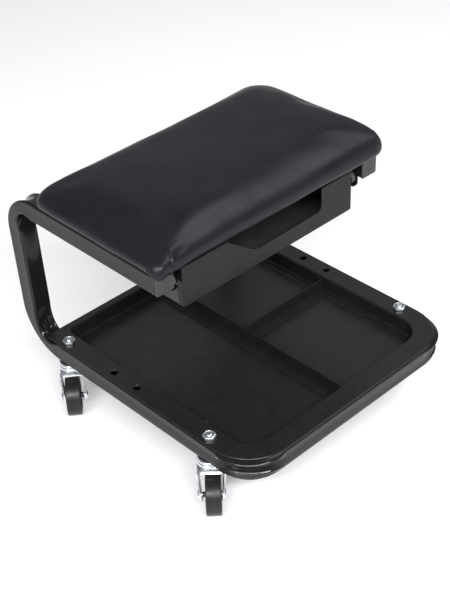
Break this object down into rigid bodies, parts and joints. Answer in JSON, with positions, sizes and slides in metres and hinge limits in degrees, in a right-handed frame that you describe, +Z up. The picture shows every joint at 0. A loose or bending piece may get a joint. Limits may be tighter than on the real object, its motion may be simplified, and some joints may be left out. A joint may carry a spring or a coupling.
{
  "type": "mechanics creeper seat",
  "caption": "Rolling work seat: bent square-tube frame on swivel casters, padded seat, roller-slide drawer under it and a divided steel tool tray on the base loop.",
  "frame": {"origin": "on the floor under the middle of the bounding box", "axes": "+Z up; the drawer opens towards -Y, the front; +X is the seated user's left, the right-hand side seen from the front"},
  "size_m": [0.4063, 0.4082, 0.33],
  "materials": {
    "enamel": "satin",
    "runner_enamel": "satin",
    "cap_plastic": "matte",
    "board": "matte",
    "vinyl": "satin",
    "zinc": "satin",
    "roller_plastic": "matte",
    "wheel_black": "matte"
  },
  "bodies": {
    "frame": {"frame_tube": "enamel", "end_cap_left": "cap_plastic", "end_cap_right": "cap_plastic", "tool_tray": "enamel", "divider_long": "enamel", "divider_cross": "enamel", "seat_board": "board", "seat_pad": "vinyl", "seat_screw_front_left": "zinc", "seat_screw_rear_left": "zinc", "runner_fixed_left": "runner_enamel", "roller_pin_front_left": "zinc", "seat_screw_front_right": "zinc", "seat_screw_rear_right": "zinc", "runner_fixed_right": "runner_enamel", "roller_pin_front_right": "zinc", "stem_bolt_front_left": "zinc", "stem_nut_front_left": "zinc", "race_cup_front_left": "zinc", "stem_bolt_rear_left": "zinc", "stem_nut_rear_left": "zinc", "race_cup_rear_left": "zinc", "stem_bolt_front_right": "zinc", "stem_nut_front_right": "zinc", "race_cup_front_right": "zinc", "stem_bolt_rear_right": "zinc", "stem_nut_rear_right": "zinc", "race_cup_rear_right": "zinc"},
    "drawer": {"drawer_body": "enamel", "drawer_front": "enamel", "runner_drawer_left": "runner_enamel", "runner_drawer_right": "runner_enamel", "roller_pin_rear_left": "zinc", "roller_pin_rear_right": "zinc"},
    "front_roller_left": {"roller_front_left": "roller_plastic"},
    "front_roller_right": {"roller_front_right": "roller_plastic"},
    "rear_roller_left": {"roller_rear_left": "roller_plastic"},
    "rear_roller_right": {"roller_rear_right": "roller_plastic"},
    "swivel_front_left": {"fork_front_left": "zinc", "axle_bolt_front_left": "zinc", "axle_nut_front_left": "zinc", "ball_ring_front_left": "zinc"},
    "rolling_front_left": {"wheel_front_left": "wheel_black"},
    "swivel_rear_left": {"fork_rear_left": "zinc", "axle_bolt_rear_left": "zinc", "axle_nut_rear_left": "zinc", "ball_ring_rear_left": "zinc"},
    "rolling_rear_left": {"wheel_rear_left": "wheel_black"},
    "swivel_front_right": {"fork_front_right": "zinc", "axle_bolt_front_right": "zinc", "axle_nut_front_right": "zinc", "ball_ring_front_right": "zinc"},
    "rolling_front_right": {"wheel_front_right": "wheel_black"},
    "swivel_rear_right": {"fork_rear_right": "zinc", "axle_bolt_rear_right": "zinc", "axle_nut_rear_right": "zinc", "ball_ring_rear_right": "zinc"},
    "rolling_rear_right": {"wheel_rear_right": "wheel_black"}
  },
  "joints": [
    {"name": "drawer_slide", "type": "slide", "parent": "frame", "child": "drawer", "axis": [0, -1, 0], "range_m": [0, 0.15]},
    {"name": "front_roller_left_spin", "type": "hinge", "parent": "frame", "child": "front_roller_left", "pos_m": [-0.1478, -0.055, 0.2668], "axis": [1, 0, 0], "continuous": true},
    {"name": "front_roller_right_spin", "type": "hinge", "parent": "frame", "child": "front_roller_right", "pos_m": [0.1478, -0.055, 0.2668], "axis": [1, 0, 0], "continuous": true},
    {"name": "rear_roller_left_spin", "type": "hinge", "parent": "drawer", "child": "rear_roller_left", "pos_m": [-0.1478, 0.115, 0.2668], "axis": [1, 0, 0], "continuous": true},
    {"name": "rear_roller_right_spin", "type": "hinge", "parent": "drawer", "child": "rear_roller_right", "pos_m": [0.1478, 0.115, 0.2668], "axis": [1, 0, 0], "continuous": true},
    {"name": "swivel_front_left", "type": "hinge", "parent": "frame", "child": "swivel_front_left", "pos_m": [-0.1665, -0.1271, 0.0574], "axis": [0, 0, 1], "continuous": true},
    {"name": "wheel_spin_front_left", "type": "hinge", "parent": "swivel_front_left", "child": "rolling_front_left", "pos_m": [-0.18082, -0.14246, 0.025], "axis": [0.7314, -0.682, 0], "continuous": true},
    {"name": "swivel_rear_left", "type": "hinge", "parent": "frame", "child": "swivel_rear_left", "pos_m": [-0.1665, 0.1262, 0.0574], "axis": [0, 0, 1], "continuous": true},
    {"name": "wheel_spin_rear_left", "type": "hinge", "parent": "swivel_rear_left", "child": "rolling_rear_left", "pos_m": [-0.17943, 0.10965, 0.025], "axis": [0.788, -0.6157, 0], "continuous": true},
    {"name": "swivel_front_right", "type": "hinge", "parent": "frame", "child": "swivel_front_right", "pos_m": [0.1665, -0.1271, 0.0574], "axis": [0, 0, 1], "continuous": true},
    {"name": "wheel_spin_front_right", "type": "hinge", "parent": "swivel_front_right", "child": "rolling_front_right", "pos_m": [0.18082, -0.11174, 0.025], "axis": [-0.7314, 0.682, 0], "continuous": true},
    {"name": "swivel_rear_right", "type": "hinge", "parent": "frame", "child": "swivel_rear_right", "pos_m": [0.1665, 0.1262, 0.0574], "axis": [0, 0, 1], "continuous": true},
    {"name": "wheel_spin_rear_right", "type": "hinge", "parent": "swivel_rear_right", "child": "rolling_rear_right", "pos_m": [0.17943, 0.14275, 0.025], "axis": [-0.788, 0.6157, 0], "continuous": true}
  ],
  "couplings": [
    {"joint": "front_roller_left_spin", "follows": "drawer_slide", "rad_per_m": 125},
    {"joint": "front_roller_right_spin", "follows": "drawer_slide", "rad_per_m": 125},
    {"joint": "rear_roller_left_spin", "follows": "drawer_slide", "rad_per_m": 125},
    {"joint": "rear_roller_right_spin", "follows": "drawer_slide", "rad_per_m": 125}
  ]
}
